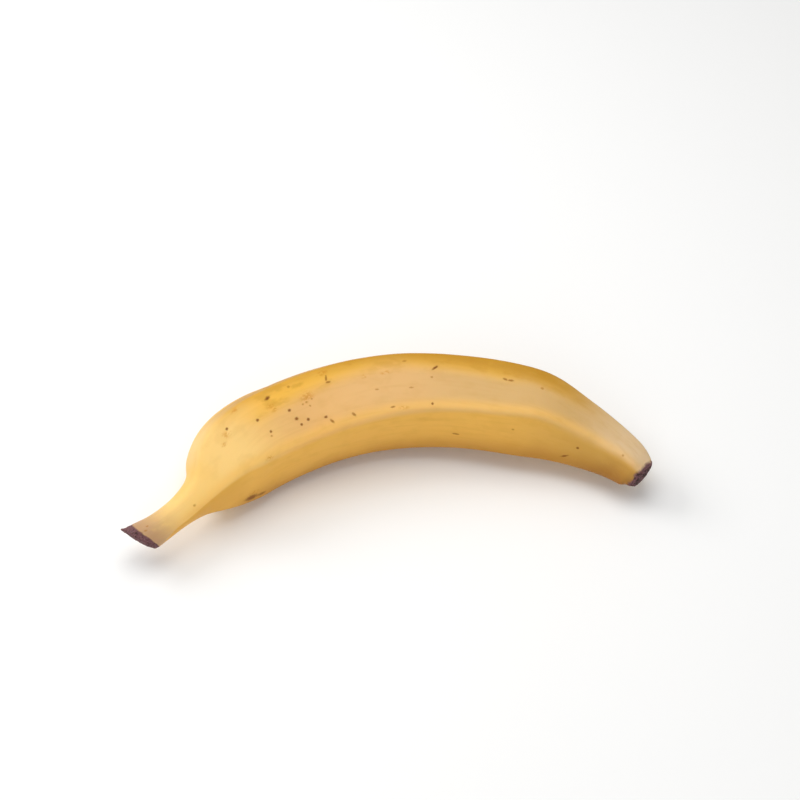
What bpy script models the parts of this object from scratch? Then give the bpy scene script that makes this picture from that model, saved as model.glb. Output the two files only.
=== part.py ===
"""A ripe plantain lying on its side: one curved, ridged fruit with its cut stalk and its dried blossom end.

The straight line from end to end runs along X, with the stalk at -X and the blossom end at +X. The hollow of
the curve faces -Y. The fruit touches the table, Z = 0, in three low places.
"""

import math
from typing import NamedTuple

import bpy
import numpy as np

MM = 0.001


class Station(NamedTuple):
    """One place along the fruit. Lengths are in millimetres, turns in degrees."""

    x: float
    y: float
    z: float
    reach: float
    twist: float
    softness: float


# Middle line and thickness, from the cut of the stalk to the blossom end.
# reach is the distance from the middle line to a ridge before the ridge is rounded.
# twist turns all ridges together, and a lower softness makes the section rounder.
STATIONS = [
    Station(-131.6, -50.0, 13.4, 9.6, -27, 4.0),
    Station(-128.0, -48.0, 13.7, 9.2, -27, 4.2),
    Station(-120.6, -44.1, 14.4, 8.4, -25, 4.5),
    Station(-111.6, -38.5, 15.2, 8.4, -22, 5.0),
    Station(-103.2, -32.2, 16.0, 10.2, -10, 5.5),
    Station(-97.7, -28.2, 16.6, 14.6, 0, 6.0),
    Station(-92.6, -23.0, 17.2, 20.6, 3, 6.5),
    Station(-86.6, -15.8, 18.0, 24.2, 0, 7.0),
    Station(-75.8, -7.0, 19.4, 25.8, -7, 7.5),
    Station(-62.0, -1.7, 20.7, 26.0, -10, 8.0),
    Station(-37.0, 5.4, 21.0, 26.1, -4, 8.0),
    Station(-4.6, 9.3, 20.8, 26.3, -1, 8.0),
    Station(27.0, 2.7, 19.9, 23.9, 5, 8.0),
    Station(51.8, -8.1, 19.6, 23.8, 10, 8.0),
    Station(64.5, -13.4, 18.4, 23.4, 11, 7.5),
    Station(75.0, -20.8, 16.2, 20.1, 14, 7.0),
    Station(85.0, -28.7, 14.2, 16.9, 18, 6.5),
    Station(94.6, -37.9, 12.8, 14.1, 21, 6.0),
    Station(100.2, -46.0, 12.2, 12.6, 29, 5.5),
    Station(102.0, -50.9, 12.0, 10.4, 37, 5.0),
]

# The five ridges round a section: turn from the hollow side, upwards, in degrees, and relative reach
RIDGE_TURN = (-34.0, 40.0, 110.0, 184.0, 256.0)
RIDGE_REACH = (1.0, 1.0, 1.0, 1.0, 0.97)

# Dried cut of the stalk: the way it faces, its collar, and the rings of the face by scale and height
CUT_FACING = (-0.65, -0.67, -0.42)
CUT_FADE = 22.0
CUT_LENGTH = 4.0
CUT_FLARE = 0.8
CUT_RINGS = ((0.90, 0.8), (0.66, 1.4), (0.34, 1.2))
CUT_MIDDLE = 1.0

# Dried blossom end: the way it faces, and the rings of its blunt stub by scale and height
BLOSSOM_FACING = (0.45, -0.85, -0.33)
BLOSSOM_FADE = 14.0
BLOSSOM_RINGS = ((0.94, 0.3), (0.88, 0.9), (0.68, 1.4), (0.34, 1.2))
BLOSSOM_MIDDLE = 0.9

# Slow unevenness of the peel: height at full thickness, the length of its two waves, and the
# short wave's height as a share of the long one's
SWELL = 0.35
SWELL_REACH = 24.0
LONG_WAVE = 132.0
SHORT_WAVE = 82.0
SHORT_SHARE = 0.6

# How deep the three lowest places are pressed flat
PRESS = 0.55

# Mesh: rings along the fruit, steps across each face, and how much both crowd at ends and ridges
RINGS = 84
FACE_STEPS = 8
CROWDING = 0.3
FINE_STEPS = 2000

FULL_TURN = 2.0 * math.pi


def curve(table, turns):
    """Reads a smooth cubic curve that the rows of the table steer, at places counted in rows."""
    ends = (2.0 * table[:1] - table[1:2], 2.0 * table[-1:] - table[-2:-1])
    rows = np.concatenate([ends[0], table, ends[1]])
    index = np.minimum(turns.astype(int), len(table) - 2)
    share = (turns - index)[:, None]
    weights = (
        (1.0 - share) ** 3,
        3.0 * share**3 - 6.0 * share**2 + 4.0,
        -3.0 * share**3 + 3.0 * share**2 + 3.0 * share + 1.0,
        share**3,
    )
    return sum(weight * rows[index + row] for row, weight in enumerate(weights)) / 6.0


def crowded(share):
    """Moves evenly spread shares closer together near 0 and 1."""
    return share - CROWDING * np.sin(FULL_TURN * share) / FULL_TURN


def section(turns, ridge_turns, ridge_reach, softness):
    """Gives the reach at each turn of a rounded polygon with the given ridges."""
    corners = ridge_reach[:, None] * np.stack([np.cos(ridge_turns), np.sin(ridge_turns)], axis=1)
    total = np.zeros_like(turns)
    for start, end in zip(corners, np.roll(corners, -1, axis=0)):
        side = end - start
        outward = np.array([side[1], -side[0]]) / np.hypot(*side)
        toward = np.cos(turns) * outward[0] + np.sin(turns) * outward[1]
        total += (np.maximum(toward, 0.0) / (start @ outward)) ** softness
    return total ** (-1.0 / softness)


def column_turns(ridge_turns):
    """Spreads the columns over the five faces, closer together near the ridges."""
    widths = np.roll(ridge_turns, -1) - ridge_turns
    widths[-1] += FULL_TURN
    shares = crowded(np.arange(FACE_STEPS) / FACE_STEPS)
    return (ridge_turns[:, None] + widths[:, None] * shares).ravel()


def slanted(ring, centre, along, facing, share):
    """Slides the ring's points along the fruit, a share of the way to the plane with this facing."""
    if share <= 0.0:
        return ring
    lean = -((ring - centre) @ facing) / (along @ facing)
    return ring + share * lean[:, None] * along


def unit(vector):
    """Gives the vector with length one."""
    return np.array(vector) / np.linalg.norm(vector)


def build_ring(place, length, middle, along, station):
    """Makes one ring of points round the middle line, in millimetres."""
    _, _, _, reach, twist, softness = station
    hollow = unit(np.cross(along, (0.0, 0.0, 1.0)))
    upward = np.cross(hollow, along)
    ridge_turns = np.radians(np.array(RIDGE_TURN) + twist)
    turns = column_turns(ridge_turns)
    radii = section(turns, ridge_turns, np.array(RIDGE_REACH) * reach, softness)
    long_swell = np.sin(FULL_TURN * place / LONG_WAVE + 2.0 * turns)
    short_swell = np.sin(FULL_TURN * place / SHORT_WAVE - 3.0 * turns)
    radii += SWELL * reach / SWELL_REACH * (long_swell + SHORT_SHARE * short_swell)
    radii += CUT_FLARE * max(0.0, 1.0 - place / CUT_LENGTH) ** 2
    ring = middle + radii[:, None] * (
        np.cos(turns)[:, None] * hollow + np.sin(turns)[:, None] * upward
    )
    ring = slanted(ring, middle, along, unit(CUT_FACING), 1.0 - place / CUT_FADE)
    to_end = length - place
    return slanted(ring, middle, along, unit(BLOSSOM_FACING), 1.0 - to_end / BLOSSOM_FADE)


def build_rings():
    """Makes all rings from the middle of the cut to the top of the blossom stub, and the two end points."""
    table = np.array(STATIONS)
    rows = np.linspace(0.0, len(table) - 1.0, FINE_STEPS)
    steps = np.linalg.norm(np.diff(curve(table, rows)[:, :3], axis=0), axis=1)
    lengths = np.concatenate([[0.0], np.cumsum(steps)])
    length = lengths[-1]
    places = length * crowded(np.linspace(0.0, 1.0, RINGS))
    stations = curve(table, np.interp(places, lengths, rows))
    middles = stations[:, :3]
    tangents = np.gradient(middles, places, axis=0)
    body = [
        build_ring(place, length, middle, unit(along), station)
        for place, middle, along, station in zip(places, middles, tangents, stations)
    ]
    cut = unit(CUT_FACING)
    blossom = unit(BLOSSOM_FACING)
    face = [
        middles[0] + (body[0] - middles[0]) * scale + cut * height
        for scale, height in reversed(CUT_RINGS)
    ]
    stub = [
        middles[-1] + (body[-1] - middles[-1]) * scale + blossom * height
        for scale, height in BLOSSOM_RINGS
    ]
    ends = [middles[0] + cut * CUT_MIDDLE, middles[-1] + blossom * BLOSSOM_MIDDLE]
    return face + body + stub, ends


def rested(points):
    """Centres the points over the origin, lowers them and presses what lies below the table flat."""
    points[:, :2] -= (points[:, :2].min(axis=0) + points[:, :2].max(axis=0)) / 2.0
    points[:, 2] -= points[:, 2].min() + PRESS
    points[:, 2] = np.maximum(points[:, 2], 0.0)
    return points


def make_material(name, colour, roughness):
    """Makes a plain material."""
    material = bpy.data.materials.new(name)
    material.use_nodes = True
    shader = material.node_tree.nodes["Principled BSDF"]
    shader.inputs["Base Color"].default_value = (*colour, 1.0)
    shader.inputs["Roughness"].default_value = roughness
    shader.inputs["Metallic"].default_value = 0.0
    return material


def build_plantain():
    """Builds the fruit as one closed mesh with a material for the peel and one for the dried ends."""
    rings, ends = build_rings()
    columns = len(rings[0])
    points = rested(np.concatenate(rings + [np.array(ends)]))
    first_peel = len(CUT_RINGS) + 1
    last_peel = len(CUT_RINGS) + RINGS - 2
    faces = []
    dried = []
    for ring in range(len(rings) - 1):
        for column in range(columns):
            near = ring * columns
            far = near + columns
            following = (column + 1) % columns
            faces.append((near + column, far + column, far + following, near + following))
            dried.append(not first_peel <= ring <= last_peel)
    head = len(rings) * columns
    last_ring = head - columns
    for column in range(columns):
        following = (column + 1) % columns
        faces.append((head, column, following))
        faces.append((head + 1, last_ring + following, last_ring + column))
        dried += [True, True]
    mesh = bpy.data.meshes.new("plantain")
    mesh.from_pydata((points * MM).tolist(), [], faces)
    mesh.materials.append(make_material("ripe_peel", (0.78, 0.46, 0.12), 0.5))
    mesh.materials.append(make_material("dried_ends", (0.11, 0.06, 0.055), 0.8))
    for polygon, is_dried in zip(mesh.polygons, dried):
        polygon.material_index = int(is_dried)
    mesh.shade_smooth()
    obj = bpy.data.objects.new("plantain", mesh)
    bpy.context.scene.collection.objects.link(obj)


for leftover in list(bpy.data.objects):
    bpy.data.objects.remove(leftover)
build_plantain()
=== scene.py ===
"""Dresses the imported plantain: its ridged ripe peel, its dried stalk cut and its dried blossom end.

The fruit lies on its side. The line from end to end runs along X, stalk at -X, and the hollow of the curve
faces -Y. Forms are written in millimetres and turned to metres where they become meshes.
"""

import logging
import math
from dataclasses import dataclass
from enum import Enum
from typing import Any

import bpy
import numpy as np
from mathutils import Matrix, Vector, noise


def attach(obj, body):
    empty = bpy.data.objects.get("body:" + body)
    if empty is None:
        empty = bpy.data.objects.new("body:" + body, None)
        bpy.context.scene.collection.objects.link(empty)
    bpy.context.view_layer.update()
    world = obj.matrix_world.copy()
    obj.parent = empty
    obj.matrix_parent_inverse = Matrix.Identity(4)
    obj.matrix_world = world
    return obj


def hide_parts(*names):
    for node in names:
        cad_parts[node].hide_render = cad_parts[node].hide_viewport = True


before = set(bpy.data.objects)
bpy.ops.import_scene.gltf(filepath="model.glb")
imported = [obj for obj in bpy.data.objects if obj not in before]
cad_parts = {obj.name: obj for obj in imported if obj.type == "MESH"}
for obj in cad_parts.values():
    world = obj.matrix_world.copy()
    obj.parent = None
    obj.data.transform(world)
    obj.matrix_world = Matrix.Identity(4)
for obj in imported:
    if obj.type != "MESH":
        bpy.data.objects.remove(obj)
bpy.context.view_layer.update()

NODE = "plantain"
BODY = "root"
MM = 0.001
FULL_TURN = 2.0 * math.pi

Numbers = float | np.ndarray
Triple = tuple[float, float, float]
Socket = bpy.types.NodeSocket

log = logging.getLogger("plantain")


def linear(hex_colour: str) -> tuple[float, float, float, float]:
    """Turns an sRGB hex colour to linear light.

    Args:
        hex_colour: Six hex digits.

    Returns:
        Red, green, blue and an alpha of one.
    """
    shares = [int(hex_colour[start : start + 2], 16) / 255.0 for start in (0, 2, 4)]
    red, green, blue = [
        share / 12.92 if share <= 0.04045 else ((share + 0.055) / 1.055) ** 2.4 for share in shares
    ]
    return red, green, blue, 1.0


def add_node(tree: bpy.types.NodeTree, kind: str, inputs: dict[Any, Any], **settings: Any) -> bpy.types.Node:
    """Adds one node with its settings, values and links.

    Args:
        tree: The material's node tree.
        kind: The node's type name.
        inputs: Socket name or number to a value, or to the output socket that feeds it.
        settings: Properties of the node, set before its sockets are used.

    Returns:
        The new node.
    """
    node = tree.nodes.new(kind)
    for name, value in settings.items():
        setattr(node, name, value)
    for socket, value in inputs.items():
        if isinstance(value, Socket):
            tree.links.new(value, node.inputs[socket])
        else:
            node.inputs[socket].default_value = value
    return node


def smooth_rise(values: Numbers, low: float, high: float) -> Numbers:
    """Rises smoothly from 0 at low to 1 at high, which may be below low, for a number or an array."""
    share = np.clip((values - low) / (high - low), 0.0, 1.0)
    return share * share * (3.0 - 2.0 * share)


def turn_gap(turns: np.ndarray, turn: float) -> np.ndarray:
    """Gives the signed shortest way from a turn to each of the turns, in radians."""
    return (turns - turn + math.pi) % FULL_TURN - math.pi


def turn_hill(turns: np.ndarray, turn: float, spread: float) -> np.ndarray:
    """Gives a hill that is 1 at a turn and about a third at a spread from it, all in radians."""
    return np.exp(-((turn_gap(turns, turn) / spread) ** 2))


def unit(vector: Any) -> np.ndarray:
    """Gives the vector with length one."""
    return np.array(vector, float) / np.linalg.norm(vector)


class End(Enum):
    """The two dried ends of the fruit."""

    CUT = "cut"
    BLOSSOM = "blossom"


class MarkKind(Enum):
    """What made a mark on the peel."""

    PEPPER = "pepper"
    FLECK = "fleck"
    SCRAPE = "scrape"
    STAIN = "stain"


@dataclass(frozen=True)
class Station:
    """One place along the fruit: middle line and ridge reach in mm, turn of the ridges in degrees."""

    x: float
    y: float
    z: float
    reach: float
    twist: float
    softness: float


@dataclass(frozen=True)
class Dent:
    """A shallow press in the peel, or a swelling where its depth is negative.

    Its place and length along the fruit and its depth are in mm, its turn and its spread round it in degrees.
    """

    along: float
    turn: float
    length: float
    spread: float
    depth: float


@dataclass(frozen=True)
class Pull:
    """A corner of an end's rim drawn out or worn back: turn and spread in degrees, ways in mm."""

    end: End
    turn: float
    spread: float
    onward: float
    outward: float


@dataclass(frozen=True)
class Mark:
    """A brown mark: place along in mm, turn round and tilt in degrees, length and width in mm."""

    along: float
    turn: float
    length: float
    width: float
    tilt: float = 0.0


STATIONS = (
    Station(-131.6, -50.0, 13.4, 9.6, -27, 4.0),
    Station(-128.0, -48.0, 13.7, 9.2, -27, 4.2),
    Station(-120.6, -44.1, 14.4, 8.4, -25, 4.5),
    Station(-111.6, -38.5, 15.2, 8.4, -22, 5.0),
    Station(-103.2, -32.2, 16.0, 10.2, -10, 5.5),
    Station(-97.7, -28.2, 16.6, 14.6, 0, 6.0),
    Station(-92.6, -23.0, 17.2, 20.6, 3, 6.5),
    Station(-86.6, -15.8, 18.0, 24.2, 0, 7.0),
    Station(-75.8, -7.0, 19.4, 25.8, -7, 7.5),
    Station(-62.0, -1.7, 20.7, 26.0, -10, 8.0),
    Station(-37.0, 5.4, 21.0, 26.1, -4, 8.0),
    Station(-4.6, 9.3, 20.8, 26.3, -1, 8.0),
    Station(27.0, 2.7, 19.9, 23.9, 5, 8.0),
    Station(51.8, -8.1, 19.6, 23.8, 10, 8.0),
    Station(64.5, -13.4, 18.4, 23.4, 11, 7.5),
    Station(75.0, -20.8, 16.2, 20.1, 14, 7.0),
    Station(85.0, -28.7, 14.2, 16.9, 18, 6.5),
    Station(94.6, -37.9, 12.8, 14.1, 21, 6.0),
    Station(100.2, -46.0, 12.2, 12.6, 29, 5.5),
    Station(102.0, -50.9, 12.0, 10.4, 37, 5.0),
)


@dataclass
class FruitForm:
    """The form of the fruit, from the same driving dimensions as its solid, in millimetres and degrees.

    A turn round the fruit is counted from the hollow of the curve, upwards.
    """

    stations: tuple[Station, ...] = STATIONS
    ridge_turn: tuple[float, ...] = (-104.0, -34.0, 40.0, 110.0, 184.0)
    ridge_reach: tuple[float, ...] = (0.97, 1.0, 1.0, 1.0, 1.0)
    front_ridge: int = 2
    front_drop: float = 6.0
    ridge_crispness: float = 1.22
    stalk_crispness: float = 0.8
    cut_facing: Triple = (-0.65, -0.67, -0.42)
    cut_fade: float = 22.0
    cut_length: float = 4.0
    cut_flare: float = 0.8
    blossom_facing: Triple = (0.605, -0.76, -0.24)
    blossom_fade: float = 14.0
    blossom_length: float = 3.2
    blossom_narrowing: float = 0.7
    shift: Triple = (14.613, 12.5, 1.707)
    swell: float = 0.35
    swell_reach: float = 24.0
    long_wave: float = 132.0
    short_wave: float = 82.0
    short_share: float = 0.6
    ridge_lift: float = 0.45
    ridge_width: float = 2.1
    ridge_sink: float = 0.3
    fine_steps: int = 2000
    dents: tuple[Dent, ...] = (
        Dent(96.0, 34.0, 11.0, 17.0, 0.5),
        Dent(150.0, 75.0, 20.0, 14.0, 0.35),
        Dent(205.0, 5.0, 16.0, 16.0, 0.3),
        Dent(70.0, 5.0, 13.0, 18.0, 0.4),
        Dent(120.0, 150.0, 24.0, 15.0, 0.5),
        Dent(190.0, 215.0, 20.0, 20.0, 0.45),
        Dent(215.0, 140.0, 14.0, 16.0, 0.35),
        Dent(45.0, 140.0, 9.0, 30.0, 0.6),
        Dent(52.0, 180.0, 9.0, 30.0, 0.9),
        Dent(3.5, 150.0, 5.0, 40.0, -0.8),
        Dent(227.0, 118.0, 13.0, 22.0, 0.6),
        Dent(40.0, 112.0, 16.0, 16.0, 0.4),
    )

    def __post_init__(self) -> None:
        """Works out the middle line's length and where the fine steps along it lie."""
        self.table = np.array([list(vars(station).values()) for station in self.stations])
        self.rows = np.linspace(0.0, len(self.table) - 1.0, self.fine_steps)
        steps = np.linalg.norm(np.diff(self.curve(self.rows)[:, :3], axis=0), axis=1)
        self.lengths = np.concatenate([[0.0], np.cumsum(steps)])
        self.length = float(self.lengths[-1])

    def curve(self, turns: np.ndarray) -> np.ndarray:
        """Reads the smooth cubic curve that the stations steer.

        Args:
            turns: Places counted in stations.

        Returns:
            One row of station values for each place.
        """
        table = self.table
        rows = np.concatenate([2.0 * table[:1] - table[1:2], table, 2.0 * table[-1:] - table[-2:-1]])
        index = np.minimum(turns.astype(int), len(table) - 2)
        share = (turns - index)[:, None]
        weights = (
            (1.0 - share) ** 3,
            3.0 * share**3 - 6.0 * share**2 + 4.0,
            -3.0 * share**3 + 3.0 * share**2 + 3.0 * share + 1.0,
            share**3,
        )
        return sum(weight * rows[index + row] for row, weight in enumerate(weights)) / 6.0

    def stations_at(self, places: np.ndarray) -> np.ndarray:
        """Gives the station values at places along the middle line, in mm from the cut."""
        return self.curve(np.interp(places, self.lengths, self.rows))

    def ridges_at(self, place: float, twist: float) -> np.ndarray:
        """Gives the turns of the ridges, in radians; the front one runs a little lower along the body."""
        turns = np.array(self.ridge_turn) + twist
        lowered = smooth_rise(place, 34.0, 64.0) * smooth_rise(place, 228.0, 192.0)
        turns[self.front_ridge] -= self.front_drop * lowered
        return np.radians(turns)

    def crisp(self, place: float, softness: float) -> float:
        """Gives the section's softness: rounder than the solid's on the stalk, crisper on the body."""
        body = smooth_rise(place, 25.0, 65.0)
        return softness * (self.stalk_crispness + (self.ridge_crispness - self.stalk_crispness) * body)

    def section(
        self, turns: np.ndarray, ridge_turns: np.ndarray, reach: float, softness: float
    ) -> np.ndarray:
        """Gives the reach at each turn of a rounded polygon with the fruit's ridges.

        Args:
            turns: Turns round the fruit, in radians.
            ridge_turns: Turns of the ridges, in radians.
            reach: Distance from the middle line to a ridge before it is rounded.
            softness: A lower value makes the section rounder.

        Returns:
            The distance from the middle line at each turn.
        """
        reaches = reach * np.array(self.ridge_reach)
        corners = reaches[:, None] * np.stack([np.cos(ridge_turns), np.sin(ridge_turns)], axis=1)
        total = np.zeros_like(turns)
        for start, end in zip(corners, np.roll(corners, -1, axis=0)):
            side = end - start
            outward = np.array([side[1], -side[0]]) / np.hypot(*side)
            toward = np.cos(turns) * outward[0] + np.sin(turns) * outward[1]
            total += (np.maximum(toward, 0.0) / (start @ outward)) ** softness
        return total ** (-1.0 / softness)

    def column_turns(self, ridge_turns: np.ndarray, face_steps: int, crowding: float) -> np.ndarray:
        """Spreads the columns over the faces, closer together near the ridges.

        Args:
            ridge_turns: Turns of the ridges, in radians.
            face_steps: Columns on each face.
            crowding: How much they crowd.

        Returns:
            The turns of one ring, its last column on its first.
        """
        widths = np.roll(ridge_turns, -1) - ridge_turns
        widths[-1] += FULL_TURN
        shares = np.arange(face_steps) / face_steps
        shares = shares - crowding * np.sin(FULL_TURN * shares) / FULL_TURN
        turns = (ridge_turns[:, None] + widths[:, None] * shares).ravel()
        return np.append(turns, turns[0] + FULL_TURN)

    def ridge_nearness(self, turns: np.ndarray, ridge_turns: np.ndarray, reach: float) -> np.ndarray:
        """Gives how near each turn is to a ridge, from 1 on it to 0 away from it."""
        gaps = np.min([np.abs(turn_gap(turns, turn)) for turn in ridge_turns], axis=0)
        return np.exp(-((gaps * reach / self.ridge_width) ** 2))

    def relief(self, place: float, turns: np.ndarray, ridge_turns: np.ndarray, reach: float) -> np.ndarray:
        """Gives how far the peel stands in or out of the plain section.

        Args:
            place: Distance along the middle line from the cut.
            turns: Turns round the fruit, in radians.
            ridge_turns: Turns of the ridges, in radians.
            reach: Reach of the ridges there.

        Returns:
            The height at each turn.
        """
        long_swell = np.sin(FULL_TURN * place / self.long_wave + 2.0 * turns)
        short_swell = np.sin(FULL_TURN * place / self.short_wave - 3.0 * turns)
        height = self.swell * reach / self.swell_reach * (long_swell + self.short_share * short_swell)
        height += self.cut_flare * max(0.0, 1.0 - place / self.cut_length) ** 2
        height -= self.blossom_narrowing * max(0.0, 1.0 - (self.length - place) / self.blossom_length) ** 2
        lift = self.ridge_lift * min(1.0, reach / self.swell_reach)
        height += lift * (self.ridge_nearness(turns, ridge_turns, reach) - self.ridge_sink)
        for dent in self.dents:
            across = turn_gap(turns, math.radians(dent.turn)) / math.radians(dent.spread)
            height -= dent.depth * np.exp(-(across**2) - ((place - dent.along) / dent.length) ** 2)
        return height


@dataclass
class Sheet:
    """What the wrapping gives each point of the sheet of peel, as arrays of rows by columns."""

    points: np.ndarray
    straight: np.ndarray
    ends: np.ndarray
    zones: np.ndarray
    tints: np.ndarray


@dataclass
class Peel:
    """The whole skin, from the middle of the cut to the middle of the blossom end, in mm and degrees."""

    form: FruitForm
    name: str = "plantain_peel"
    body_rows: int = 404
    cut_rows: int = 15
    blossom_rows: int = 17
    face_steps: int = 34
    row_crowding: float = 0.62
    column_crowding: float = 0.3
    cut_height: float = 1.0
    blossom_height: float = 3.6
    blossom_lean: Triple = (-0.92, -0.52, -0.56)
    dish: float = 0.5
    fibre_height: float = 0.012
    fibre_count: int = 38
    waviness: float = 0.13
    broad_wave: tuple[float, float] = (19.0, 7.0)
    fine_wave: tuple[float, float] = (6.5, 2.6)
    fine_share: float = 0.28
    # Place, width and fading of the band of painted highlight along the front ridge, in degrees and mm
    highlight_shift: float = 5.0
    highlight_width: float = 3.0
    highlight_fade: tuple[float, float] = (16.0, 60.0)
    pulls: tuple[Pull, ...] = (
        Pull(End.CUT, 140.0, 36.0, -0.2, -1.1),
        Pull(End.CUT, 143.0, 5.0, 0.6, 2.0),
        Pull(End.CUT, -14.0, 32.0, -2.2, -0.7),
        Pull(End.CUT, -60.0, 30.0, -0.7, 0.0),
        Pull(End.BLOSSOM, -20.0, 50.0, -0.8, -1.1),
        Pull(End.BLOSSOM, 134.0, 30.0, 0.3, 0.9),
    )
    pull_depth: float = 2.8
    cut_border: float = 2.7
    corner_reach: float = 1.0
    corner_turn: float = 145.0
    corner_spread: float = 42.0
    blossom_border: float = -0.35
    cap_length: float = 9.0
    lump_start: float = 0.4
    lump_full: float = 1.6
    lump_height: float = 0.55
    cut_lumps: float = 1.4
    blossom_lumps: float = 1.5
    merge: float = 0.001

    def build(self) -> bpy.types.Object:
        """Lays the sheet of peel, wraps it round the fruit, closes it and roughens its dried ends."""
        sheet = self.lay_sheet()
        self.place_points(sheet, self.wrap())
        self.close(sheet)
        self.roughen(sheet, End.CUT, self.cut_lumps)
        self.roughen(sheet, End.BLOSSOM, self.blossom_lumps)
        bpy.ops.object.shade_smooth()
        return sheet

    def lay_sheet(self) -> bpy.types.Object:
        """Adds the flat sheet of peel, one column of faces for each step round the fruit."""
        bpy.ops.object.select_all(action="DESELECT")
        bpy.ops.mesh.primitive_grid_add(
            x_subdivisions=self.cut_rows + self.body_rows + self.blossom_rows - 1,
            y_subdivisions=len(self.form.ridge_turn) * self.face_steps,
            size=self.form.length * MM,
        )
        sheet = bpy.context.object
        sheet.name = self.name
        sheet.data.name = self.name
        sheet.data.uv_layers[0].name = "OFBake"
        return sheet

    def cap(
        self, ring: np.ndarray, facing: np.ndarray, rows: int, height: float, lean: Triple
    ) -> list[np.ndarray]:
        """Closes a ring with smaller rings over a low dished cushion.

        Args:
            ring: The ring's points.
            facing: The way the end faces.
            rows: How many rings to add.
            height: How high the cushion stands.
            lean: How far its middle lies to one side, and which way.

        Returns:
            The added rings, the middle one first.
        """
        centre = ring[:-1].mean(axis=0)
        aside = np.array(lean)
        added = []
        for scale in np.linspace(0.0, 1.0, rows, endpoint=False) ** 0.8:
            rise = height * (1.0 - scale**4) ** 0.55 - self.dish * (1.0 - scale**2) ** 2
            added.append(centre + (ring - centre) * scale + facing * rise + aside * (1.0 - scale**2))
        return added

    def stalk_grooves(self, place: float, turns: np.ndarray) -> np.ndarray:
        """Gives the height of the long fibres that show on the stalk and near both ends."""
        bare = 1.0 - smooth_rise(place, 26.0, 48.0)
        bare = max(bare, 0.7 * smooth_rise(self.form.length - place, 26.0, 4.0))
        drift = 0.35 * math.sin(place / 9.0)
        wave = np.sin(self.fibre_count * turns + drift)
        wave += 0.6 * np.sin(0.61 * self.fibre_count * turns - 2.0 * drift)
        return self.fibre_height * bare * wave

    def wrap(self) -> Sheet:
        """Works out where each point of the sheet lies on the fruit.

        Returns:
            Points, straightened places, distances from both ends with the band of painted highlight along
            the front ridge, and the shares of the colour zones and of each side's tints.
        """
        form = self.form
        share = np.linspace(0.0, 1.0, self.body_rows)
        places = form.length * (share - self.row_crowding * np.sin(FULL_TURN * share) / FULL_TURN)
        stations = form.stations_at(places)
        middles = stations[:, :3]
        tangents = np.gradient(middles, places, axis=0)
        cut = unit(form.cut_facing)
        blossom = unit(form.blossom_facing)
        rings, straights, ends, zones, tints = [], [], [], [], []
        for place, middle, tangent, station in zip(places, middles, tangents, stations):
            along = unit(tangent)
            hollow = unit(np.cross(along, (0.0, 0.0, 1.0)))
            upward = np.cross(hollow, along)
            ridge_turns = form.ridges_at(place, station[4])
            turns = form.column_turns(ridge_turns, self.face_steps, self.column_crowding)
            radii = form.section(turns, ridge_turns, station[3], form.crisp(place, station[5]))
            radii += form.relief(place, turns, ridge_turns, station[3]) + self.stalk_grooves(place, turns)
            straight = self.straightened(place, turns, radii)
            radii += self.fine_waves(straight, place)
            flat = radii[:, None] * (np.cos(turns)[:, None] * hollow + np.sin(turns)[:, None] * upward)
            ring = self.slanted(middle + flat, middle, along, cut, 1.0 - place / form.cut_fade)
            to_end = form.length - place
            ring = self.slanted(ring, middle, along, blossom, 1.0 - to_end / form.blossom_fade)
            rings.append(ring)
            straights.append(straight)
            front = ridge_turns[form.front_ridge]
            # Band of painted highlight just above the front ridge, drawn nearer the ridge towards the blossom
            # end
            shift = self.highlight_shift * smooth_rise(to_end, *self.highlight_fade)
            highlight_band = turn_hill(turns, front + math.radians(shift), self.highlight_width / station[3])
            corner = turn_hill(turns, math.radians(self.corner_turn), math.radians(self.corner_spread))
            from_cut = place - self.corner_reach * corner
            ends.append(np.stack([from_cut, np.full_like(turns, to_end), highlight_band], axis=1))
            zones.append(self.zones(place, to_end, turns))
            tints.append(self.tints(place, to_end, turns, front))
        self.pull_rims(rings)
        cut_cap = self.cap(rings[0], cut, self.cut_rows, self.cut_height, (0.0, 0.0, 0.0))
        blossom_cap = self.cap(rings[-1], blossom, self.blossom_rows, self.blossom_height, self.blossom_lean)
        onward = (self.cap_length, 0.0, 0.0)
        back = (-self.cap_length, 0.0, 0.0)
        past_blossom = (0.0, -self.cap_length, 0.0)
        return Sheet(
            points=np.array(cut_cap + rings + blossom_cap[::-1]),
            straight=self.with_caps(straights, back, onward, closing=(0.0, 1.0, 1.0)),
            ends=self.with_caps(ends, back, past_blossom, kept=(1.0, 1.0, 0.0)),
            zones=self.with_caps(zones),
            tints=self.with_caps(tints),
        )

    @staticmethod
    def straightened(place: float, turns: np.ndarray, radii: np.ndarray) -> np.ndarray:
        """Gives where a ring's points would lie if the fruit were unbent."""
        return np.stack([np.full_like(turns, place), radii * np.cos(turns), radii * np.sin(turns)], axis=1)

    def fine_waves(self, straight: np.ndarray, place: float) -> np.ndarray:
        """Gives the small unevenness of the peel at each point, drawn out along the fruit."""
        heights = np.zeros(len(straight))
        for (length, width), share in ((self.broad_wave, 1.0), (self.fine_wave, self.fine_share)):
            scale = np.array((length, width, width))
            heights += [share * noise.noise(Vector((place, across, up) / scale)) for _, across, up in straight]
        return self.waviness * heights

    @staticmethod
    def slanted(
        ring: np.ndarray, centre: np.ndarray, along: np.ndarray, facing: np.ndarray, share: float
    ) -> np.ndarray:
        """Slides a ring's points along the fruit, a share of the way to a slanted plane.

        Args:
            ring: The ring's points.
            centre: Its middle.
            along: The fruit's way there.
            facing: The way the plane faces.
            share: How far to slide, nothing at 0 or less.

        Returns:
            The moved ring.
        """
        if share <= 0.0:
            return ring
        lean = -((ring - centre) @ facing) / (along @ facing)
        return ring + share * lean[:, None] * along

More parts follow.
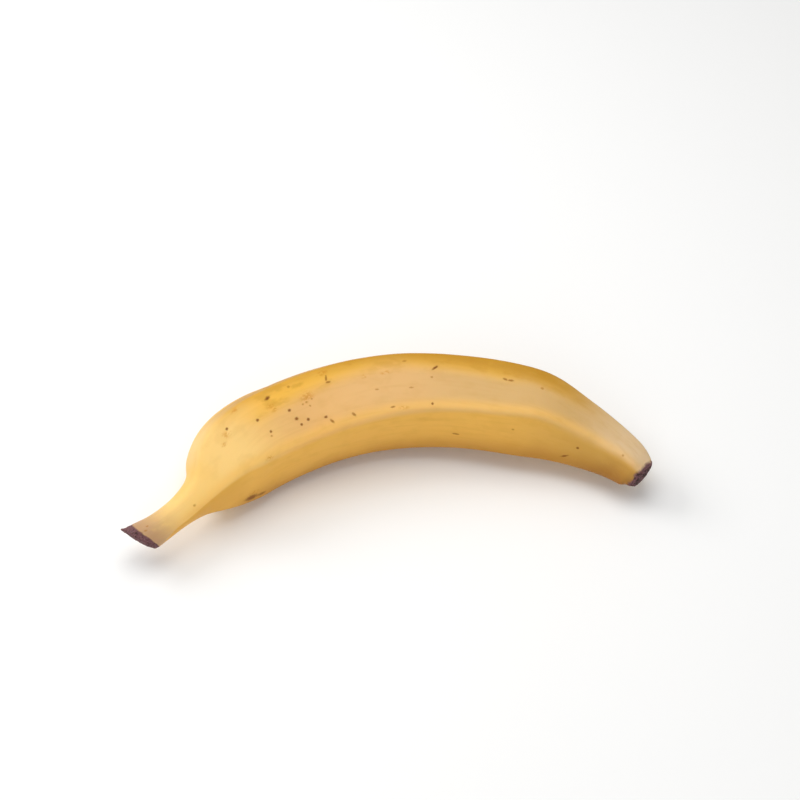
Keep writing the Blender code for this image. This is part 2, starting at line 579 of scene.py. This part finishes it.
    def pull_rims(self, rings: list[np.ndarray]) -> None:
        """Draws out the corners of the rims that tore off longer, and wears back the others.

        Args:
            rings: The rings of the body, of which those near an end are moved.
        """
        form = self.form
        for pull in self.pulls:
            at_cut = pull.end is End.CUT
            order = rings if at_cut else rings[::-1]
            facing = unit(form.cut_facing if at_cut else form.blossom_facing)
            station = form.stations_at(np.array([0.0 if at_cut else form.length]))[0]
            ridge_turns = np.radians(np.array(form.ridge_turn) + station[4])
            turns = form.column_turns(ridge_turns, self.face_steps, self.column_crowding)
            outward = order[0] - order[0][:-1].mean(axis=0)
            outward /= np.linalg.norm(outward, axis=1)[:, None]
            way = pull.onward * facing + pull.outward * outward
            nearness = turn_hill(turns, math.radians(pull.turn), math.radians(pull.spread))
            middle = order[0].mean(axis=0)
            for ring in order:
                depth = np.linalg.norm(ring.mean(axis=0) - middle) / self.pull_depth
                if depth >= 1.0:
                    break
                ring += (nearness * (1.0 - depth) ** 1.5)[:, None] * way

    def zones(self, place: float, to_end: float, turns: np.ndarray) -> np.ndarray:
        """Says how much of each slow colour change a ring's points have.

        Args:
            place: Distance along the middle line from the cut.
            to_end: Distance along it to the blossom end.
            turns: Turns round the fruit, in radians.

        Returns:
            Shares of amber along the far ridge, partly the peel's own riper mottling and partly painted shade
            and warm reflection from another fruit, of brown under the tip, and of freckles on the unseen side.
        """
        over = turns % FULL_TURN
        # Amber along the far edge: partly the peel's own riper mottling, partly painted shade and warm
        # reflection from another fruit
        far = smooth_rise(over, math.radians(89.0), math.radians(113.0))
        far = far * smooth_rise(over, math.radians(180.0), math.radians(135.0))
        far = far * smooth_rise(place, 50.0, 80.0) * smooth_rise(to_end, 26.0, 60.0)
        spread = math.radians(37.0 + 32.0 * smooth_rise(to_end, 22.0, 4.0))
        under = turn_hill(turns, math.radians(-27.0), spread) * smooth_rise(to_end, 46.0, 8.0)
        from_view = np.abs(turn_gap(turns, math.radians(50.0)))
        hidden = smooth_rise(from_view, math.radians(85.0), math.radians(115.0))
        return np.stack([far, under, hidden], axis=1)

    @staticmethod
    def tints(place: float, to_end: float, turns: np.ndarray, front: float) -> np.ndarray:
        """Says how much of each side's own tint a ring's points have.

        Args:
            place: Distance along the middle line from the cut.
            to_end: Distance along it to the blossom end.
            turns: Turns round the fruit, in radians.
            front: Turn of the front ridge there, in radians.

        Returns:
            Shares of gold above the upper side, of amber towards the hollow, and of painted shade in a darker
            amber along the lower edge below it.
        """
        degree = math.radians(1.0)
        own = turn_gap(turns, front)
        border = 74.0 + 22.0 * smooth_rise(place, 60.0, 150.0)
        border = (border + 40.0 * smooth_rise(place, 78.0, 54.0)) * degree
        over = turns % FULL_TURN
        gold = smooth_rise(over, border - 14.0 * degree, border + 12.0 * degree)
        gold = gold * smooth_rise(place, 50.0, 82.0) * smooth_rise(to_end, 22.0, 75.0)
        neck = smooth_rise(place, 18.0, 30.0) * smooth_rise(place, 47.0, 39.0)
        neck = neck * (0.28 + 0.17 * smooth_rise(over, 95.0 * degree, 135.0 * degree))
        gold = np.maximum(gold, neck) * smooth_rise(over, 250.0 * degree, 190.0 * degree)
        edge = (1.0 - 24.0 * smooth_rise(place, 17.0, 3.0)) * degree
        blend = 5.0 + 3.0 * smooth_rise(place, 40.0, 60.0)
        blend = (blend + 15.0 * smooth_rise(to_end, 60.0, 18.0)) * degree
        amber = smooth_rise(own, edge, edge - blend) * smooth_rise(own, -102.0 * degree, -74.0 * degree)
        amber = amber * smooth_rise(place, 3.0, 14.0)
        spread = (27.0 + 22.0 * smooth_rise(place, 50.0, 26.0)) * degree
        # Painted shade: darker amber along the lower edge, reaching over the hollow side on the stalk
        lower_shade_share = turn_hill(own, -75.0 * degree, spread) * smooth_rise(place, 6.0, 60.0)
        lower_shade_share = np.maximum(lower_shade_share, 0.52 * amber * smooth_rise(place, 56.0, 38.0))
        return np.stack([gold, amber, lower_shade_share], axis=1)

    def with_caps(
        self,
        rows: list[np.ndarray],
        cut_step: Triple = (0.0, 0.0, 0.0),
        blossom_step: Triple = (0.0, 0.0, 0.0),
        kept: Triple = (1.0, 1.0, 1.0),
        closing: Triple = (0.0, 0.0, 0.0),
    ) -> np.ndarray:
        """Gives the points of both caps values too, which go on from those of the rims.

        Args:
            rows: Values of the body's rings, three to a point.
            cut_step: What the values gain from the cut's rim to its middle.
            blossom_step: What they gain from the blossom end's rim to its middle.
            kept: The share of each value that the caps take over from the rim.
            closing: The share of each value that is lost on the way to the middle.

        Returns:
            Values for all rows.
        """

        def cap_row(rim: np.ndarray, share: float, step: Triple) -> np.ndarray:
            """Gives the values at a share of the way from a rim to the middle."""
            return rim * kept * (1.0 - share * np.array(closing)) + share * np.array(step)

        cut = [cap_row(rows[0], 1.0 - row / self.cut_rows, cut_step) for row in range(self.cut_rows)]
        shares = [(row + 1) / self.blossom_rows for row in range(self.blossom_rows)]
        return np.array(cut + rows + [cap_row(rows[-1], share, blossom_step) for share in shares])

    def place_points(self, sheet: bpy.types.Object, wrapped: Sheet) -> None:
        """Moves the sheet's points onto the fruit, sets it where the solid lies and keeps the masks.

        Args:
            sheet: The flat sheet.
            wrapped: What the wrapping gave.
        """
        mesh = sheet.data
        flat = np.empty(len(mesh.vertices) * 3, np.float32)
        mesh.vertices.foreach_get("co", flat)
        flat = flat.reshape(-1, 3) / (self.form.length * MM) + 0.5
        rows = np.rint(flat[:, 0] * (len(wrapped.points) - 1)).astype(int)
        columns = np.rint(flat[:, 1] * (wrapped.points.shape[1] - 1)).astype(int)
        points = wrapped.points[rows, columns] + self.form.shift
        points[:, 2] = np.maximum(points[:, 2], 0.0)
        mesh.vertices.foreach_set("co", (points * MM).astype(np.float32).ravel())
        for name in ("straight", "ends", "zones", "tints"):
            attribute = mesh.attributes.new(name, "FLOAT_VECTOR", "POINT")
            values = getattr(wrapped, name)[rows, columns]
            attribute.data.foreach_set("vector", values.astype(np.float32).ravel())
        borders = {End.CUT: self.cut_border, End.BLOSSOM: self.blossom_border}
        for column, (end, border) in enumerate(borders.items()):
            distances = wrapped.ends[rows, columns, column]
            weights = smooth_rise(distances, border + self.lump_start, border - self.lump_full)
            self.add_group(sheet, end.value, weights)
        mesh.update()

    @staticmethod
    def add_group(sheet: bpy.types.Object, name: str, weights: np.ndarray) -> None:
        """Adds a vertex group that holds the points with some weight."""
        group = sheet.vertex_groups.new(name=name)
        for index in np.flatnonzero(weights > 0.0):
            group.add([int(index)], float(weights[index]), "REPLACE")

    def close(self, sheet: bpy.types.Object) -> None:
        """Joins the sheet's long edges, closes both ends and turns all faces outwards."""
        bpy.ops.object.mode_set(mode="EDIT")
        bpy.ops.mesh.select_all(action="SELECT")
        bpy.ops.mesh.remove_doubles(threshold=self.merge * MM)
        bpy.ops.mesh.normals_make_consistent(inside=False)
        bpy.ops.mesh.select_all(action="DESELECT")
        bpy.ops.object.mode_set(mode="OBJECT")
        log.info("%s: %d points, %d faces", sheet.name, len(sheet.data.vertices), len(sheet.data.polygons))

    def roughen(self, sheet: bpy.types.Object, end: End, grain: float) -> None:
        """Shrivels one dried end with lumps of this size, by its vertex group."""
        name = f"{end.value}_lumps"
        texture = bpy.data.textures.new(name, "CLOUDS")
        texture.noise_scale = grain * MM
        texture.noise_depth = 3
        texture.contrast = 1.3
        modifier = sheet.modifiers.new(name, "DISPLACE")
        modifier.texture = texture
        modifier.texture_coords = "LOCAL"
        modifier.vertex_group = end.value
        modifier.mid_level = 0.6
        modifier.strength = self.lump_height * MM
        bpy.ops.object.modifier_apply(modifier=modifier.name)


@dataclass(frozen=True)
class RipePeel:
    """Ripe plantain peel: waxy and smooth, so it has a broad soft sheen over long faint fibres.

    The flesh side glows a little through it. Lengths are in millimetres.
    """

    yellow: str = "EEB76C"
    peach: str = "DFB275"
    neck_yellow: str = "F3CA7C"
    gold: str = "F0B840"
    side_amber: str = "EEB754"
    tip_amber: str = "C29546"
    # Painted shade: the darker amber along the lower edge
    lower_shade_amber: str = "B98030"
    # Painted highlight: the golden line along the front ridge
    painted_ridge_highlight: str = "F2BD60"
    # Amber for the peel's own mottling and fibres, also used for the painted shade and warm reflection along
    # the far edge
    amber: str = "BC8722"
    under_tip: str = "94632C"
    beige: str = "E3C69D"
    fawn: str = "D3AB6E"
    pinkish: str = "B68E6C"
    freckle: str = "8A5A26"
    roughness: float = 0.47
    cloud_size: float = 34.0
    mottle_size: float = 5.5
    fibre_length: float = 45.0
    fibre_width: float = 1.9
    pore_size: float = 0.55
    freckle_spacing: float = 6.5


@dataclass(frozen=True)
class DriedTissue:
    """Dried sap and skin: dull, rough and purple-brown, nearly black in its cracks, with paler flakes.

    Lengths are in millimetres; the edges lie inside the border.
    """

    brown: str = "704C4F"
    dark: str = "2E1D1B"
    flake: str = "9A7B78"
    roughness: float = 0.78
    flake_size: float = 0.7
    crack_size: float = 1.3
    raggedness: float = 1.4
    edge_start: float = 0.3
    edge_full: float = 1.1


@dataclass(frozen=True)
class MarkFinish:
    """How one kind of mark looks: its colour, how much it covers, and how soft its edge is."""

    colour: str
    cover: float
    edge: float


MARK_FINISHES = {
    MarkKind.PEPPER: MarkFinish("7C4400", 0.88, 0.6),
    MarkKind.FLECK: MarkFinish("A86C0C", 0.6, 0.6),
    MarkKind.SCRAPE: MarkFinish("92590A", 0.78, 0.6),
    MarkKind.STAIN: MarkFinish("C98212", 0.62, 0.8),
}

# The marks of the photographed side in the order of painting, each kind roughly from the stalk onwards
MARKS = {
    MarkKind.STAIN: (
        Mark(52.0, -12.0, 12.0, 5.0, 10.0),
        Mark(60.0, 91.0, 9.0, 6.0, 13.0),
        Mark(55.5, 86.0, 7.0, 4.0, 10.0),
        Mark(68.5, 30.0, 12.0, 4.2, 10.0),
        Mark(70.0, 102.0, 7.0, 5.0, 0.0),
        Mark(84.0, 84.0, 8.0, 5.0, 0.0),
        Mark(85.0, 78.0, 6.0, 3.4, -20.0),
        Mark(101.0, 78.0, 14.0, 9.0, -10.0),
        Mark(112.0, 100.0, 12.0, 5.0, -8.0),
        Mark(130.0, 85.0, 5.0, 4.0, -10.0),
        Mark(141.0, 87.0, 11.0, 4.0, -8.0),
        Mark(148.0, 39.0, 11.0, 3.4, 0.0),
    ),
    MarkKind.FLECK: (
        Mark(4.7, 74.0, 2.6, 1.6, 20.0),
        Mark(6.7, 85.0, 2.2, 1.6),
        Mark(28.0, 45.0, 2.4, 2.1),
        Mark(77.9, 49.5, 2.4, 1.8),
        Mark(95.0, 96.0, 2.6, 2.2),
        Mark(98.0, 71.0, 2.0, 1.7),
        Mark(100.0, 72.0, 2.2, 1.9),
        Mark(101.0, 66.0, 2.2, 1.6, 50.0),
        Mark(103.0, 74.0, 2.0, 1.7),
        Mark(135.0, 64.3, 3.6, 1.7, 8.0),
        Mark(150.0, 100.7, 3.8, 1.9, -12.0),
        Mark(152.6, 63.2, 4.2, 1.6, -2.0),
        Mark(162.7, 80.0, 2.6, 2.1),
        Mark(205.4, 21.6, 2.4, 2.0),
        Mark(213.7, 92.7, 2.6, 2.4),
        Mark(262.7, 66.0, 2.2, 2.0),
    ),
    MarkKind.SCRAPE: (
        Mark(56.0, -24.5, 13.0, 3.8, 8.0),
        Mark(84.2, 93.2, 5.2, 2.8, -25.0),
        Mark(108.5, 39.3, 4.8, 2.4, 54.0),
        Mark(112.8, 93.0, 6.2, 1.9, 109.0),
        Mark(113.2, 88.0, 4.2, 1.9, 0.0),
        Mark(120.2, 40.2, 4.4, 2.4, 42.0),
        Mark(141.7, 40.6, 5.0, 1.6, -5.0),
        Mark(164.0, 93.8, 6.4, 2.1, -42.0),
        Mark(177.2, -1.5, 7.0, 1.8, 4.0),
        Mark(197.3, 93.6, 4.4, 2.0, 14.0),
        Mark(199.8, 93.4, 5.0, 2.1, -7.0),
    ),
    MarkKind.PEPPER: (
        Mark(50.0, -20.5, 12.0, 6.6, 10.0),
        Mark(62.0, 94.5, 2.5, 2.3),
        Mark(75.8, 76.5, 2.9, 2.7),
        Mark(78.7, 55.0, 2.5, 2.4),
        Mark(84.5, 93.0, 3.6, 2.2, -20.0),
        Mark(91.0, 70.0, 2.8, 2.7),
        Mark(92.6, 56.3, 3.3, 3.0),
        Mark(93.7, 47.0, 2.5, 2.3),
        Mark(97.7, 50.0, 3.0, 2.8),
        Mark(106.2, 45.8, 3.2, 2.4),
        Mark(163.6, 42.9, 2.4, 2.2, 40.0),
        Mark(164.2, 94.0, 5.0, 1.7, -42.0),
        Mark(236.0, -1.4, 9.4, 1.9, -32.0),
        Mark(240.5, 26.2, 2.7, 2.5),
    ),
}


@dataclass
class SkinMaterial:
    """The material of the whole fruit: ripe peel with its marks, and dried tissue at both ends.

    Borders and depths are in mm.
    """

    peel: RipePeel
    dried: DriedTissue
    marks: dict[MarkKind, tuple[Mark, ...]]
    form: FruitForm
    cut_border: float
    blossom_border: float
    name: str = "ripe_plantain_skin"
    mark_depth: float = 1.6
    ior: float = 1.45
    specular: float = 0.2
    glow: float = 0.12
    glow_radius: Triple = (1.0, 0.45, 0.12)
    glow_depth: float = 2.0
    fine_bump: float = 0.06
    coarse_bump: float = 0.3

    def build(self) -> bpy.types.Material:
        """Makes the material, which reads the attributes straight, ends, zones and tints."""
        material = bpy.data.materials.new(self.name)
        material.use_nodes = True
        self.tree = material.node_tree
        self.shader = self.tree.nodes["Principled BSDF"]
        self.straight = self.attribute("straight")
        self.from_cut, self.from_blossom, self.highlight_band = self.channels("ends")
        colour, relief = self.paint_peel()
        self.finish_skin(self.paint_marks(colour), relief)
        return material

    def add(self, kind: str, inputs: dict[Any, Any], **settings: Any) -> bpy.types.Node:
        """Adds a node to this material."""
        return add_node(self.tree, kind, inputs, **settings)

    def attribute(self, name: str) -> Socket:
        """Reads one of the piece's vector attributes."""
        return self.add("ShaderNodeAttribute", {}, attribute_name=name).outputs["Vector"]

    def channels(self, name: str) -> list[Socket]:
        """Gives the three values that one of the piece's attributes holds."""
        return list(self.add("ShaderNodeSeparateXYZ", {0: self.attribute(name)}).outputs)

    def grain(self, along: float, across: float, detail: float = 3.0) -> Socket:
        """Draws soft noise on the unbent fruit.

        Args:
            along: Size of its patches along the fruit, in mm.
            across: Their size round it, in mm.
            detail: How many finer layers it has.

        Returns:
            A value round one half.
        """
        scale = (1.0 / along, 1.0 / across, 1.0 / across)
        place = self.add("ShaderNodeMapping", {"Vector": self.straight, "Scale": scale}).outputs[0]
        return self.add("ShaderNodeTexNoise", {"Vector": place, "Scale": 1.0, "Detail": detail}).outputs[0]

    def rise(self, value: Any, low: float, high: float, top: float = 1.0) -> Socket:
        """Rises smoothly from 0 where the value is low to top where it is high."""
        limits = {"Value": value, "From Min": low, "From Max": high, "To Min": 0.0, "To Max": top}
        return self.add("ShaderNodeMapRange", limits, interpolation_type="SMOOTHSTEP").outputs[0]

    def layer(self, under: Any, colour: Any, *shares: Any) -> Socket:
        """Lays a colour over another where all the shares are high.

        Args:
            under: The colour below, as a socket or a hex colour.
            colour: The colour laid over it, in the same way.
            shares: Masks whose product says how much of it shows.

        Returns:
            The mixed colour.
        """
        share = shares[0]
        for other in shares[1:]:
            share = self.add("ShaderNodeMath", {0: share, 1: other}, operation="MULTIPLY").outputs[0]
        both = [linear(paint) if isinstance(paint, str) else paint for paint in (under, colour)]
        return self.add("ShaderNodeMix", {0: share, 6: both[0], 7: both[1]}, data_type="RGBA").outputs[2]

    def paint_peel(self) -> tuple[Socket, Socket]:
        """Paints the peel's slow colour changes, a painted highlight along the front ridge, painted shade
        along the lower and far edges, mottling, fibres and freckles.

        Returns:
            The colour, and the height of the fine relief.
        """
        peel = self.peel
        from_cut, from_blossom = self.from_cut, self.from_blossom
        far, under_tip, hidden = self.channels("zones")
        gold, amber_side, lower_shade = self.channels("tints")
        clouds = self.grain(peel.cloud_size * 1.6, peel.cloud_size, 2.0)
        mottle = self.grain(peel.mottle_size * 1.8, peel.mottle_size, 5.0)
        fibres = self.grain(peel.fibre_length, peel.fibre_width, 4.0)
        colour = self.layer(peel.yellow, peel.peach, self.rise(from_cut, 88.0, 150.0, 0.85))
        colour = self.layer(colour, peel.peach, self.rise(clouds, 0.42, 0.66, 0.5))
        colour = self.layer(colour, peel.fawn, self.rise(from_blossom, 128.0, 76.0))
        colour = self.layer(colour, peel.beige, self.rise(from_blossom, 46.0, 2.0, 0.88))
        colour = self.layer(colour, peel.neck_yellow, self.rise(from_cut, 100.0, 56.0))
        colour = self.layer(colour, peel.gold, gold, self.rise(clouds, 0.2, 0.6, 0.9))
        # Painted highlight: a golden line just above the front ridge, fainter towards the blossom end and
        # absent on the stalk
        lit = self.rise(from_blossom, -50.0, 55.0, 0.62)
        colour = self.layer(colour, peel.painted_ridge_highlight, self.highlight_band, self.rise(from_cut, 6.0, 26.0), lit)
        by_cut = self.rise(from_cut, 22.0, 3.0, 0.9)
        colour = self.layer(colour, peel.pinkish, by_cut, self.rise(mottle, 0.1, 0.45))
        colour = self.layer(colour, peel.side_amber, amber_side)
        colour = self.layer(colour, peel.tip_amber, amber_side, self.rise(from_blossom, 80.0, 5.0, 0.9))
        # Painted shade: darker amber along the lower edge, towards the floor
        colour = self.layer(colour, peel.lower_shade_amber, lower_shade, self.rise(clouds, 0.1, 0.6, 0.95))
        # Amber along the far edge: partly the peel's own riper mottling, partly painted shade and warm
        # reflection from another fruit
        colour = self.layer(colour, peel.amber, far, self.rise(mottle, -0.1, 0.45, 0.92))
        patches = self.rise(mottle, 0.52, 0.66, 0.3)
        colour = self.layer(colour, peel.amber, gold, patches, self.rise(from_cut, 66.0, 90.0))
        patches = self.rise(mottle, 0.46, 0.7, 0.12)
        colour = self.layer(colour, peel.amber, patches, self.rise(from_cut, 20.0, 60.0))
        colour = self.layer(colour, peel.under_tip, under_tip, self.rise(mottle, 0.1, 0.5, 0.9))
        strands = self.rise(fibres, 0.46, 0.76, 0.13)
        colour = self.layer(colour, peel.amber, strands, self.rise(from_cut, 40.0, 90.0))
        colour = self.layer(colour, peel.freckle, hidden, self.freckles())
        pores = self.grain(peel.pore_size, peel.pore_size, 2.0)
        relief = self.add("ShaderNodeMath", {0: pores, 1: 0.35, 2: fibres}, operation="MULTIPLY_ADD")
        return colour, relief.outputs[0]

    def freckles(self) -> Socket:
        """Scatters small freckles, one to a cell in a few of the cells."""
        spacing = self.peel.freckle_spacing
        place = self.add("ShaderNodeMapping", {"Vector": self.straight, "Scale": (1.0 / spacing,) * 3})
        cells = self.add("ShaderNodeTexVoronoi", {"Vector": place.outputs[0], "Scale": 1.0})
        spot = self.rise(cells.outputs["Distance"], 0.15, 0.07)
        draw = self.add("ShaderNodeSeparateColor", {0: cells.outputs["Color"]})
        chosen = self.rise(draw.outputs[0], 0.45, 0.65, 0.85)
        return self.add("ShaderNodeMath", {0: spot, 1: chosen}, operation="MULTIPLY").outputs[0]

    def paint_marks(self, colour: Socket) -> Socket:
        """Paints the listed marks, each kind in its own finish.

        Args:
            colour: The colour of the unmarked peel.

        Returns:
            The colour with the marks on it.
        """
        ragged = self.grain(0.7, 0.7, 3.0)
        for kind, marks in self.marks.items():
            finish = MARK_FINISHES[kind]
            cover = self.spot(marks[0])
            for mark in marks[1:]:
                both = {0: cover, 1: self.spot(mark)}
                cover = self.add("ShaderNodeMath", both, operation="MAXIMUM").outputs[0]
            torn = self.add("ShaderNodeMath", {0: ragged, 1: 0.5, 2: cover}, operation="MULTIPLY_ADD")
            edge = self.rise(torn.outputs[0], 0.45, 0.45 + finish.edge, finish.cover)
            if kind is MarkKind.STAIN:
                specks = self.rise(self.grain(1.5, 1.1, 3.0), 0.36, 0.62)
                edge = self.add("ShaderNodeMath", {0: edge, 1: specks}, operation="MULTIPLY").outputs[0]
            colour = self.layer(colour, finish.colour, edge, self.rise(cover, 0.0, 0.08))
        return colour

    def spot(self, mark: Mark) -> Socket:
        """Draws one mark as a soft oval on the unbent fruit, 1 in its middle and 0 at its edge."""
        station = self.form.stations_at(np.array([mark.along]))[0]
        ridge_turns = self.form.ridges_at(mark.along, station[4])
        turn = math.radians(mark.turn)
        crisp = self.form.crisp(mark.along, station[5])
        radii = self.form.section(np.array([turn]), ridge_turns, station[3], crisp)
        radii += self.form.relief(mark.along, np.array([turn]), ridge_turns, station[3])
        radius = float(radii[0])
        place = (mark.along, radius * math.cos(turn), radius * math.sin(turn))
        facing = Matrix.Rotation(turn, 3, "X") @ Matrix.Rotation(math.radians(mark.tilt), 3, "Y")
        thick = max(mark.width, self.mark_depth)
        settings = {
            "Vector": self.straight,
            "Location": place,
            "Rotation": facing.to_euler("XYZ"),
            "Scale": (mark.length / 2.0, thick, mark.width / 2.0),
        }
        local = self.add("ShaderNodeMapping", settings, vector_type="TEXTURE")
        inputs = {"Vector": local.outputs[0]}
        return self.add("ShaderNodeTexGradient", inputs, gradient_type="SPHERICAL").outputs["Fac"]

    def finish_skin(self, colour: Socket, relief: Socket) -> None:
        """Lays the dried tissue over both ends and sets the shader.

        Args:
            colour: The peel's colour.
            relief: Height of the peel's fine relief.
        """
        dried, peel = self.dried, self.peel
        ragged = self.grain(4.0, 2.6, 3.0)
        ends = []
        for distance, border in ((self.from_cut, self.cut_border), (self.from_blossom, self.blossom_border)):
            inputs = {0: ragged, 1: -dried.raggedness, 2: distance}
            torn = self.add("ShaderNodeMath", inputs, operation="MULTIPLY_ADD").outputs[0]
            ends.append(self.rise(torn, border - dried.edge_start, border - dried.edge_full))
        share = self.add("ShaderNodeMath", {0: ends[0], 1: ends[1]}, operation="MAXIMUM").outputs[0]
        flakes = self.grain(dried.flake_size, dried.flake_size, 4.0)
        cracks = self.grain(dried.crack_size * 1.5, dried.crack_size, 5.0)
        tissue = self.layer(dried.brown, dried.flake, self.rise(flakes, 0.52, 0.72, 0.75))
        tissue = self.layer(tissue, dried.dark, self.rise(cracks, 0.5, 0.36, 0.75))
        core = self.rise(self.from_blossom, -1.0, -3.2, 0.9)
        tissue = self.layer(tissue, dried.dark, core, self.rise(cracks, 0.6, 0.44))
        shader = self.shader
        links = self.tree.links
        links.new(self.layer(colour, tissue, share), shader.inputs["Base Color"])
        sheen = self.rise(share, 0.0, 1.0, dried.roughness - peel.roughness)
        rough = self.add("ShaderNodeMath", {0: sheen, 1: peel.roughness}, operation="ADD").outputs[0]
        links.new(rough, shader.inputs["Roughness"])
        crumble = self.add("ShaderNodeMath", {0: flakes, 1: cracks}, operation="ADD").outputs[0]
        height = self.add("ShaderNodeMath", {0: crumble, 1: share}, operation="MULTIPLY").outputs[0]
        bump = {"Strength": 0.6, "Distance": self.fine_bump * MM, "Height": relief}
        fine = self.add("ShaderNodeBump", bump).outputs[0]
        bump = {"Strength": 0.8, "Distance": self.coarse_bump * MM, "Height": height, "Normal": fine}
        links.new(self.add("ShaderNodeBump", bump).outputs[0], shader.inputs["Normal"])
        shader.inputs["IOR"].default_value = self.ior
        shader.inputs["Specular IOR Level"].default_value = self.specular
        shader.inputs["Subsurface Weight"].default_value = self.glow
        shader.inputs["Subsurface Radius"].default_value = self.glow_radius
        shader.inputs["Subsurface Scale"].default_value = self.glow_depth * MM


@dataclass(frozen=True)
class SoftLight:
    """A soft square light: its place and its side in metres, its power in watts."""

    name: str
    place: Triple
    size: float
    power: float


@dataclass
class Studio:
    """The pale floor, the soft lights and the camera at the photograph's viewing angle."""

    azimuth: float = -10.0
    elevation: float = 50.0
    distance: float = 1.1
    lens: float = 104.9
    sensor: float = 36.0
    aim: Triple = (0.0124, 0.0112, 0.0311)
    floor_size: float = 8.0
    floor_colour: str = "F8F8F7"
    sky: str = "FFFFFF"
    sky_strength: float = 0.45
    lights: tuple[SoftLight, ...] = (
        SoftLight("left_light", (-0.6, 0.45, 0.6), 0.5, 3.75),
        SoftLight("top_light", (0.0, 0.1, 0.8), 0.6, 2.7),
        SoftLight("front_light", (-0.1, -0.8, 0.5), 0.6, 1.6),
    )

    def build(self) -> None:
        """Sets the floor, the lights and the camera."""
        self.lay_floor()
        for light in self.lights:
            self.hang(light)
        self.light_sky()
        self.set_camera()

    def lay_floor(self) -> None:
        """Adds the plain pale floor."""
        bpy.ops.object.select_all(action="DESELECT")
        bpy.ops.mesh.primitive_plane_add(size=self.floor_size)
        floor = bpy.context.object
        floor.name = "studio_floor"
        material = bpy.data.materials.new("pale_floor")
        material.use_nodes = True
        shader = material.node_tree.nodes["Principled BSDF"]
        shader.inputs["Base Color"].default_value = linear(self.floor_colour)
        shader.inputs["Roughness"].default_value = 0.9
        floor.data.materials.append(material)

    @staticmethod
    def hang(light: SoftLight) -> None:
        """Hangs one light, facing the fruit."""
        bpy.ops.object.light_add(type="AREA", location=light.place)
        lamp = bpy.context.object
        lamp.name = light.name
        lamp.data.size = light.size
        lamp.data.energy = light.power
        lamp.rotation_euler = Vector(light.place).to_track_quat("Z", "Y").to_euler()

    def light_sky(self) -> None:
        """Lights the scene evenly from all round."""
        world = bpy.data.worlds.new("soft_sky")
        world.use_nodes = True
        backdrop = world.node_tree.nodes["Background"]
        backdrop.inputs["Color"].default_value = linear(self.sky)
        backdrop.inputs["Strength"].default_value = self.sky_strength
        bpy.context.scene.world = world
        bpy.context.scene.view_settings.view_transform = "Standard"

    def set_camera(self) -> None:
        """Places the camera at the photograph's viewing angle."""
        turn, rise = math.radians(self.azimuth), math.radians(self.elevation)
        level = math.cos(rise)
        back = Vector((math.sin(turn) * level, -math.cos(turn) * level, math.sin(rise)))
        bpy.ops.object.camera_add(location=Vector(self.aim) + self.distance * back)
        camera = bpy.context.object
        camera.name = "photo_camera"
        camera.rotation_euler = back.to_track_quat("Z", "Y").to_euler()
        camera.data.lens = self.lens
        camera.data.sensor_width = self.sensor
        bpy.context.scene.camera = camera


def main() -> None:
    """Builds the fruit's pieces and the studio in order."""
    logging.basicConfig(level=logging.INFO, format="%(name)s: %(message)s")
    form = FruitForm()
    peel = Peel(form)
    skin = peel.build()
    skin_material = SkinMaterial(RipePeel(), DriedTissue(), MARKS, form, peel.cut_border, peel.blossom_border)
    skin.data.materials.append(skin_material.build())
    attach(skin, BODY)
    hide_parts(NODE)
    log.info("peel dressed")
    Studio().build()
    log.info("studio set")


if __name__ == "__main__":
    main()
